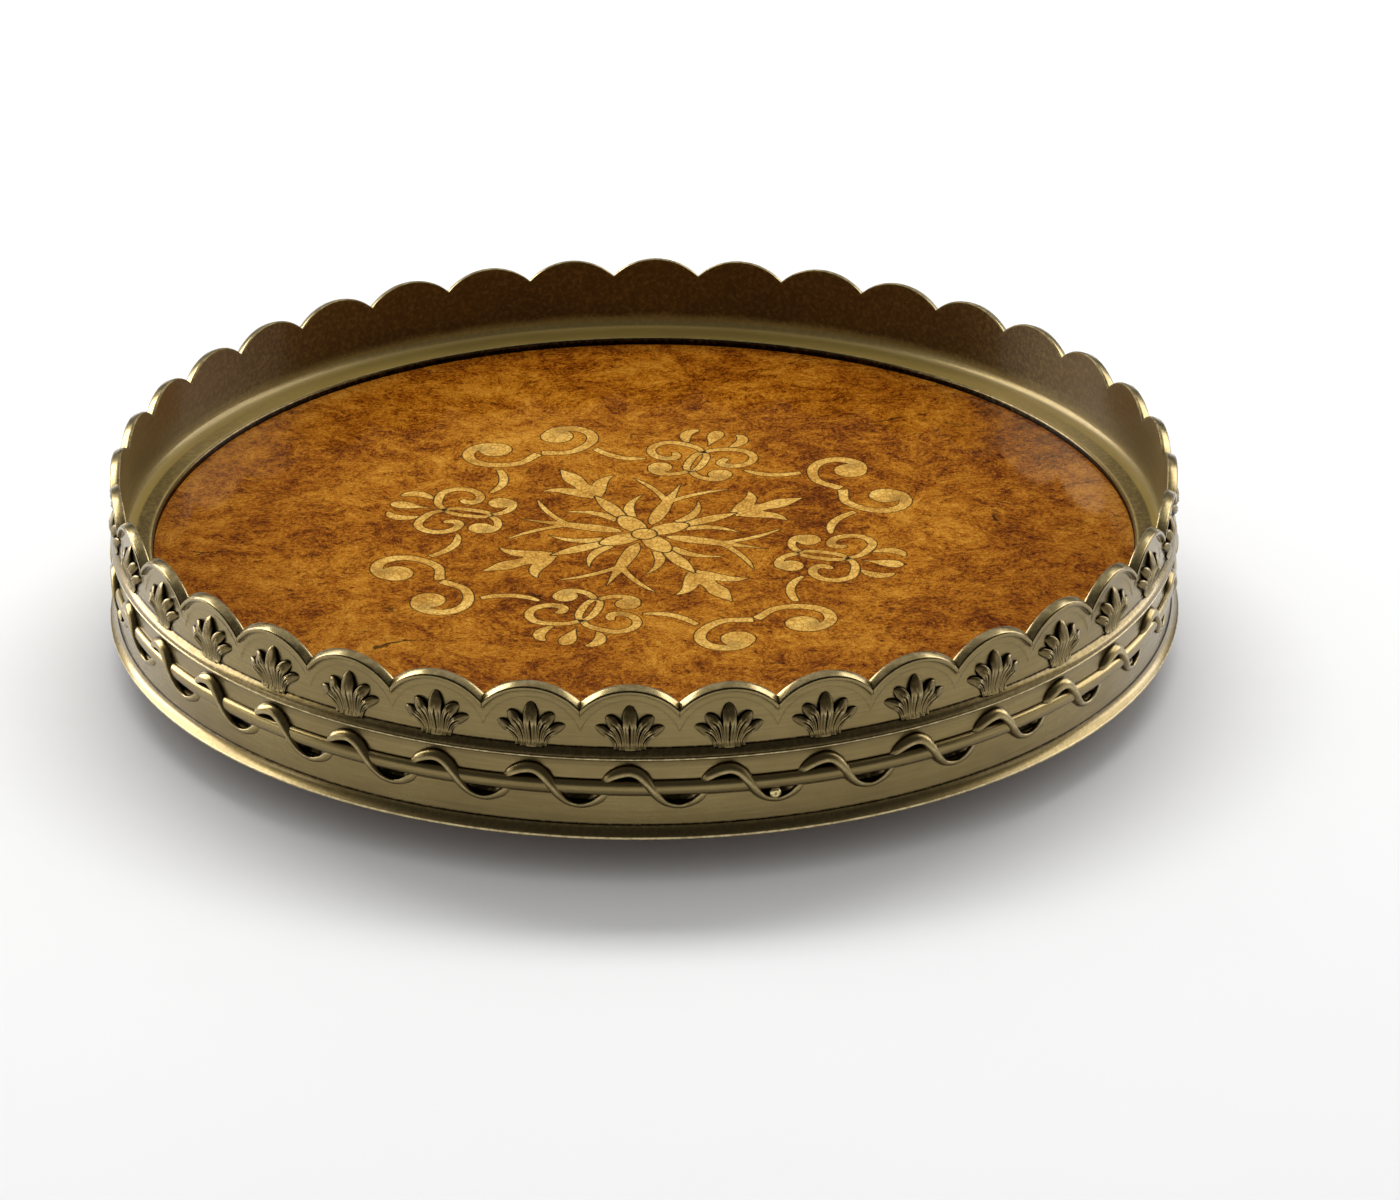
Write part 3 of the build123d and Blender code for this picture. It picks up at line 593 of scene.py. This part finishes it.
def brass_material():
    """Cast brass under a brown-black patina, rubbed bright on the edges; recesses are black from patina,
    dirt and painted shade.
    """
    rubbed, brown = (0.74, 0.60, 0.31), (0.055, 0.034, 0.009)
    soot_and_shade_black, dirt_and_shade_black = (0.007, 0.005, 0.002), (0.010, 0.007, 0.003)
    s = Shader("antiqued_brass")

    # horizontal wiping marks, in coordinates unrolled from the wall
    x, y, z = s.node("ShaderNodeSeparateXYZ", {0: s.place}).outputs
    round_wall = s.times(s.math("ARCTAN2", y, x), band_radius * MM)
    unrolled = s.node("ShaderNodeCombineXYZ", {0: round_wall, 1: s.add(s.math("ABSOLUTE", x), y), 2: z})
    streaks = s.noise(60, 5, 0.6, vector=s.stretch(unrolled.outputs[0], (0.25, 0.5, 14)))
    clouds = s.noise(22, 4, 0.6)
    grain = s.noise(900, 3, 0.6)
    tone = s.add(s.times(clouds, 0.55), s.times(streaks, 0.45))

    # bare metal, rubbed edges and golden varnish
    metal = s.ramp(tone, [(0.30, (0.175, 0.124, 0.044)), (0.50, (0.225, 0.165, 0.061)),
                          (0.72, (0.275, 0.208, 0.082))])
    wear_noise = s.span(s.noise(300, 4, 0.7), 0.42, 0.62, 0.35, 1.0)
    wear = s.math("MULTIPLY", s.value("wear"), wear_noise, clamp=True)
    metal = s.mix(s.times(wear, 0.9), metal, rubbed)
    varnish = s.value("varnish")
    metal = s.mix(varnish, metal, s.mix(streaks, (0.250, 0.172, 0.040), (0.370, 0.260, 0.066)))

    # patina with painted shade in places, and dirt with painted shade where the surface is closed in
    patina = s.times(s.value("patina"), s.span(s.noise(520, 5, 0.7), 0.30, 0.62, 0.55, 1.0))
    colour = s.mix(s.span(patina, 0, 1, 0, 0.92), metal, brown)
    colour = s.mix(s.span(patina, 0.9, 1.6), colour, soot_and_shade_black)
    specks = s.span(s.noise(420, 4, 0.75), 0.60, 0.74)
    # painted shade: the more closed in the surface, the nearer it is painted to black
    recess_shade = s.span(s.openness(3.5 * MM, samples=6), 0.68, 0.30)
    dirt_and_shade = s.add(s.times(recess_shade, 0.95), s.times(specks, 0.12), clamp=True)
    colour = s.mix(dirt_and_shade, colour, dirt_and_shade_black)

    metallic = s.math("SUBTRACT", s.span(wear, 0, 1, 1.0, 0.4), varnish, clamp=True)
    rough = s.add(s.span(tone, 0.3, 0.7, 0.33, 0.25), s.times(dirt_and_shade, 0.30))
    rough = s.add(rough, s.times(varnish, 0.10))
    lacquer = s.times(s.span(patina, 0.7, 1.4, 0.32, 0.0), s.span(varnish, 0, 1, 1.0, 0.1))
    height = s.add(s.times(grain, 0.5), s.times(streaks, 0.8))
    return s.surface(Base_Color=colour, Metallic=metallic, Roughness=rough, Specular_IOR_Level=0.3,
                     Coat_Weight=lacquer, Coat_Roughness=0.10, Normal=s.bump(height, 0.1 * MM, 0.3))


def bright_brass_material():
    """Plain brass of the pin heads, lightly tarnished."""
    s = Shader("bright_brass")
    tarnish = s.span(s.noise(700, 4, 0.6), 0.35, 0.7)
    colour = s.mix(tarnish, (0.83, 0.68, 0.33), (0.50, 0.38, 0.16))
    colour = s.mix(s.value("patina"), colour, (0.03, 0.02, 0.01))
    return s.surface(Base_Color=colour, Metallic=1.0, Roughness=s.span(tarnish, 0, 1, 0.18, 0.4))


def lacquered(s, colour, relief, relief_depth):
    """Veneer under gloss lacquer: the wood itself is matt and the lacquer gives the reflection."""
    return s.surface(Base_Color=colour, Roughness=0.5, Specular_IOR_Level=0.0, Coat_Weight=0.6,
                     Coat_Roughness=0.09, Coat_IOR=1.5, Normal=s.bump(relief, relief_depth, 0.3))


def burl_material():
    """Orange-brown burl under gloss lacquer: clouds, dark red mottling, fine specks and short cracks."""
    speck_brown, crack_black = (0.075, 0.016, 0.001), (0.012, 0.005, 0.001)
    s = Shader("burl_veneer")
    place = s.wander(14, 4, 0.6, 30 * MM)
    clouds = s.noise(15, 5, 0.6, 0.4, vector=place)
    mottle = s.noise(85, 6, 0.72, 0.6, vector=place)
    fleck = s.noise(620, 4, 0.80, vector=place)
    tone = s.add(s.add(s.times(clouds, 0.28), s.times(mottle, 0.32)), s.times(fleck, 0.40))
    colour = s.ramp(tone, [(0.41, (0.095, 0.019, 0.0010)), (0.46, (0.225, 0.060, 0.0030)),
                           (0.50, (0.380, 0.126, 0.0065)), (0.54, (0.500, 0.198, 0.0140)),
                           (0.60, (0.660, 0.315, 0.0380))])

    specks = s.span(s.noise(300, 5, 0.75, vector=place), 0.54, 0.63)
    specks = s.times(specks, s.span(mottle, 0.60, 0.44))
    colour = s.mix(s.times(specks, 0.85), colour, speck_brown)
    slit = s.cell_edges(34, s.stretch(place, (0.55, 1.7, 1)))
    crack = s.times(s.span(slit, 0.030, 0.006), s.span(s.noise(31, 3, 0.6), 0.62, 0.68))
    colour = s.mix(s.times(crack, 0.85), colour, crack_black)
    grain = s.span(s.noise(1700, 2, 0.7), 0.35, 0.65)
    colour = s.mix(1.0, colour, s.mix(grain, (0.60, 0.54, 0.50), white), "MULTIPLY")

    # darker toward the edge of the panel
    edge = s.span(s.length(s.place), 0.60 * panel_radius * MM, 1.05 * panel_radius * MM, 0.0, 0.55)
    colour = s.mix(edge, colour, s.mix(1.0, colour, (0.50, 0.38, 0.30), "MULTIPLY"))
    return lacquered(s, colour, fleck, 0.04 * MM)


def pattern_wedge(s):
    """Object coordinates folded into one eighth of the inlay pattern: x from 0 up to y."""
    turned = s.node("ShaderNodeVectorRotate", {"Vector": s.place, "Angle": -pattern_turn},
                    rotation_type="Z_AXIS").outputs[0]
    x, y, _ = s.node("ShaderNodeSeparateXYZ", {0: s.vector_math("ABSOLUTE", turned)}).outputs
    low, high = s.math("MINIMUM", x, y), s.math("MAXIMUM", x, y)
    return s.node("ShaderNodeCombineXYZ", {0: low, 1: high}).outputs[0]


def scorch(s):
    """Where the inlays are darkened with hot sand: round the scroll ends and leaf joints."""
    wedge = pattern_wedge(s)
    spots = [(66.5, 95.0, 7.5), (14.2, 66.0, 5.5), (14.0, 79.8, 4.5), (1.0, 68.0, 3.0), (0.5, 90.0, 3.0)]
    darkest = 0.0
    for x, y, reach in spots:
        away = s.distance(wedge, (x * MM, y * MM, 0))
        near = s.span(away, 0.1 * reach * MM, reach * MM, 0.55, 0.0)
        darkest = s.math("MAXIMUM", near, darkest)
    return darkest


def inlay_material():
    """Pale veneer with fine crackle, scorched in places, with a dark line in the joints."""
    crackle_brown, joint_black, scorched = (0.22, 0.09, 0.010), (0.060, 0.025, 0.005), (0.240, 0.130, 0.028)
    s = Shader("inlay_veneer")
    clouds = s.noise(60, 4, 0.6)
    grain = s.noise(700, 4, 0.65, vector=s.stretch(s.place, (1.6, 0.6, 1)))
    tone = s.add(s.times(clouds, 0.55), s.times(grain, 0.45))
    colour = s.ramp(tone, [(0.38, (0.440, 0.210, 0.032)), (0.50, (0.630, 0.350, 0.068)),
                           (0.62, (0.800, 0.510, 0.130))])
    crackle = s.cell_edges(300, s.wander(400, 3, 0.6, 2 * MM))
    colour = s.mix(s.span(crackle, 0.10, 0.02, 0.0, 0.55), colour, crackle_brown)
    from_edge = s.openness(0.6 * MM, samples=8, inside=True)
    colour = s.mix(s.span(from_edge, 0.97, 0.72, 0.0, 0.85), colour, joint_black)
    colour = s.mix(scorch(s), colour, scorched)
    return lacquered(s, colour, grain, 0.03 * MM)


def plain_wood_material(name, light, dark, roughness):
    """Straight-grained wood: long pores and slow colour bands along X."""
    s = Shader(name)
    along = s.stretch(s.place, (3, 60, 60))
    pores = s.noise(12, 5, 0.65, 0.3, vector=along)
    bands = s.noise(3, 3, 0.5, 0.6, vector=along)
    tone = s.add(s.times(pores, 0.6), s.times(bands, 0.4))
    colour = s.mix(s.span(tone, 0.35, 0.65), dark, light)
    rough = s.span(pores, 0.3, 0.7, roughness + 0.1, roughness)
    return s.surface(Base_Color=colour, Roughness=rough, Normal=s.bump(pores, 0.1 * MM, 0.4))


def core_material():
    """Plywood; the glue in the saw cuts between the inlays is dark."""
    light_glue, dark_glue = (0.060, 0.028, 0.008), (0.030, 0.014, 0.004)
    s = Shader("plywood")
    grain = s.noise(30, 5, 0.6, vector=s.stretch(s.place, (2, 30, 30)))
    colour = s.mix(s.span(grain, 0.35, 0.65), (0.34, 0.20, 0.09), (0.52, 0.36, 0.19))
    height = s.node("ShaderNodeSeparateXYZ", {0: s.place}).outputs[2]
    glue = s.span(height, (core_z - 0.6) * MM, (core_z - 0.2) * MM)
    colour = s.mix(glue, colour, s.mix(grain, dark_glue, light_glue))
    return s.surface(Base_Color=colour, Roughness=s.span(grain, 0.3, 0.7, 0.8, 0.6))


def paint_material():
    """Satin black paint over wood, with faint brush marks."""
    s = Shader("black_paint")
    marks = s.noise(40, 4, 0.6, vector=s.stretch(s.place, (1, 9, 3)))
    dust = s.span(s.noise(260, 4, 0.6), 0.55, 0.75)
    colour = s.mix(marks, (0.010, 0.009, 0.008), (0.022, 0.020, 0.018))
    colour = s.mix(s.times(dust, 0.25), colour, (0.06, 0.055, 0.05))
    return s.surface(Base_Color=colour, Roughness=s.span(marks, 0.3, 0.7, 0.42, 0.55),
                     Normal=s.bump(marks, 0.2 * MM, 0.4))


def rubber_material():
    """Matt black rubber with a moulded grain."""
    s = Shader("foot_rubber")
    grain = s.noise(1400, 3, 0.6)
    colour = s.mix(s.noise(120, 3), (0.018, 0.018, 0.018), (0.040, 0.038, 0.036))
    return s.surface(Base_Color=colour, Roughness=s.span(grain, 0.3, 0.7, 0.75, 0.9),
                     Normal=s.bump(grain, 0.08 * MM, 0.5))


def metal_material(name, light, dark, roughness, turned=False):
    """Clean metal; turned gives it the fine rings of a lathe."""
    ring_spacing = 0.5 * MM
    s = Shader(name)
    cloud = s.noise(90, 4, 0.6)
    colour = s.mix(s.span(cloud, 0.35, 0.65), dark, light)
    height = s.noise(800, 2, 0.5)
    if turned:
        from_axis = s.length(s.stretch(s.place, (1, 1, 0)))
        height = s.math("SINE", s.times(from_axis, 2 * math.pi / ring_spacing))
    rough = s.span(cloud, 0.3, 0.7, roughness + 0.08, roughness)
    return s.surface(Base_Color=colour, Metallic=1.0, Roughness=rough,
                     Normal=s.bump(height, 0.02 * MM, 0.4))


def nylon_material():
    """Natural nylon of the ball cage, slightly cloudy."""
    s = Shader("cage_plastic")
    cloud = s.noise(150, 3, 0.5)
    colour = s.mix(cloud, (0.62, 0.60, 0.52), (0.74, 0.72, 0.66))
    return s.surface(Base_Color=colour, Roughness=s.span(cloud, 0.3, 0.7, 0.38, 0.5),
                     Subsurface_Weight=0.2, Normal=s.bump(cloud, 0.03 * MM, 0.3))


def floor_material():
    """Plain pale studio floor with the faintest unevenness."""
    s = Shader("studio_floor")
    colour = s.mix(s.noise(3, 4, 0.6), (0.80, 0.80, 0.80), (0.84, 0.84, 0.84))
    return s.surface(Base_Color=colour, Roughness=0.7)


def finish_cad_nodes():
    """Gives every CAD node that stays in view its material."""
    steel = metal_material("zinc_steel", (0.62, 0.62, 0.58), (0.48, 0.48, 0.44), 0.3)
    aluminium = metal_material("ring_aluminium", (0.72, 0.72, 0.73), (0.60, 0.60, 0.61), 0.32, turned=True)
    by_slot = {
        "burl_veneer": burl_material(),
        "inlay_veneer": inlay_material(),
        "plain_veneer": plain_wood_material("plain_veneer", (0.30, 0.16, 0.07), (0.16, 0.08, 0.035), 0.5),
        "plywood": core_material(),
        "black_paint": paint_material(),
        "foot_rubber": rubber_material(),
        "zinc_steel": steel,
        "ring_aluminium": aluminium,
        "ball_steel": metal_material("ball_steel", (0.72, 0.72, 0.74), (0.62, 0.62, 0.64), 0.12),
        "cage_plastic": nylon_material(),
    }
    for part in frame["record"]["subparts"]:
        material = by_slot.get(part["material_slot"])
        if material:
            node = frame["nodes"][part["node"]]
            node.data.materials.clear()
            node.data.materials.append(material)


# ------------------------------------------------------------------------- studio
def add_light(name, place, size, power, glossy=True, diffuse=True):
    """Softbox that faces the tray; it can be left out of reflections, or be in nothing else."""
    lamp = bpy.data.lights.new(name, "AREA")
    lamp.shape = "RECTANGLE"
    lamp.size, lamp.size_y = size
    lamp.energy = power
    light = bpy.data.objects.new(name, lamp)
    light.location = place
    toward_tray = Vector((0, 0, 0.05)) - Vector(place)
    light.rotation_euler = toward_tray.to_track_quat("-Z", "Y").to_euler()
    light.visible_glossy = glossy
    light.visible_diffuse = diffuse
    bpy.context.scene.collection.objects.link(light)


def build_floor():
    """Plain floor, out past anything the camera sees."""
    half = 4.0
    corners = [(-half, -half, 0), (half, -half, 0), (half, half, 0), (-half, half, 0)]
    mesh = bpy.data.meshes.new("studio_floor")
    mesh.from_pydata(corners, [], [(0, 1, 2, 3)])
    mesh.materials.append(floor_material())
    floor = bpy.data.objects.new("studio_floor", mesh)
    bpy.context.scene.collection.objects.link(floor)


def build_lights():
    """Softboxes and strips for the brass to reflect, stronger on the left, and a soft light behind."""
    for side, strength in ((-1, 0.95), (1, 0.5)):
        add_light("softbox", (side * 1.75, 0.75, 1.05), (1.4, 1.6), 58 * strength, diffuse=False)
        add_light("strip", (side * 2.3, -0.5, 0.45), (0.8, 0.6), 3 * strength, diffuse=False)
        add_light("low_strip", (side * 2.2, 1.0, 0.35), (1.2, 0.5), 15 * strength, diffuse=False)
    add_light("key", (0, 1.25, 2.2), (3.2, 0.7), 59, glossy=False)


def build_world():
    """Studio walls: what lights the floor, what the brass reflects and what the camera sees."""
    world = bpy.data.worlds.new("studio")
    world.use_nodes = True
    tree = world.node_tree
    tree.nodes.clear()

    def add(kind, inputs=()):
        made = tree.nodes.new(kind)
        for place, value in enumerate(inputs):
            if isinstance(value, bpy.types.NodeSocket):
                tree.links.new(value, made.inputs[place])
            elif value is not None:
                made.inputs[place].default_value = value
        return made

    def span(value, low, high, to_low=0.0, to_high=1.0):
        made = add("ShaderNodeMapRange", (value, low, high, to_low, to_high))
        made.interpolation_type = "SMOOTHSTEP"
        return made.outputs[0]

    def blend(share, a, b):
        return add("ShaderNodeMix", (share, None, a, b)).outputs[0]

    look = add("ShaderNodeTexCoord").outputs["Generated"]
    _, back, up = add("ShaderNodeSeparateXYZ", (look,)).outputs

    # behind the tray: bright near the floor, dark above it, brighter again overhead
    behind = blend(span(up, 0.03, 0.17), 0.9, span(up, 0.42, 0.60, 0.06, 0.60))
    in_front = span(up, 0.02, 0.14, 0.45, 0.10)
    reflected = blend(span(back, -0.30, 0.15), in_front, behind)

    for_floor, for_camera = 0.62, 0.92
    path = add("ShaderNodeLightPath").outputs
    level = blend(path["Is Diffuse Ray"], reflected, for_floor)
    level = blend(path["Is Camera Ray"], level, for_camera)
    sky = add("ShaderNodeBackground", ((*white, 1), level))
    add("ShaderNodeOutputWorld", (sky.outputs[0],))
    bpy.context.scene.world = world


def build_camera():
    """Long lens, a little above the tray, with the tray left of and above the picture's centre."""
    distance = 2.601
    elevation = math.radians(24.02)
    roll = math.radians(-0.148)
    aim_right, aim_down = 0.0235, 0.0522
    centre = Vector((0, 0, notch_z * MM))
    place = centre + distance * Vector((0, -math.cos(elevation), math.sin(elevation)))
    up = Vector((0, math.sin(elevation), math.cos(elevation)))
    aim = centre + Vector((aim_right, 0, 0)) - aim_down * up
    camera = bpy.data.objects.new("camera", bpy.data.cameras.new("camera"))
    camera.data.sensor_width = 36
    camera.data.lens = 157.2
    camera.location = place
    turn = (aim - place).to_track_quat("-Z", "Y").to_matrix().to_4x4()
    camera.rotation_euler = (turn @ Matrix.Rotation(roll, 4, "Z")).to_euler()
    bpy.context.scene.collection.objects.link(camera)
    bpy.context.scene.camera = camera


# ---------------------------------------------------------------------- assembly
slot_materials = {"antiqued_brass": brass_material(), "bright_brass": bright_brass_material()}
for make, node, slot in (
    (gallery_casting, "gallery_band", "antiqued_brass"),
    (palmettes, "gallery_palmettes", "antiqued_brass"),
    (ribbon, "gallery_ribbon", "antiqued_brass"),
    (pin_heads, "gallery_pins", "bright_brass"),
):
    piece = make()
    piece.data.materials.append(slot_materials[slot])
    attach(piece, "turntable")
    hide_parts(node)

finish_cad_nodes()
build_floor()
build_lights()
build_world()
build_camera()
bpy.context.scene.view_settings.view_transform = "Standard"
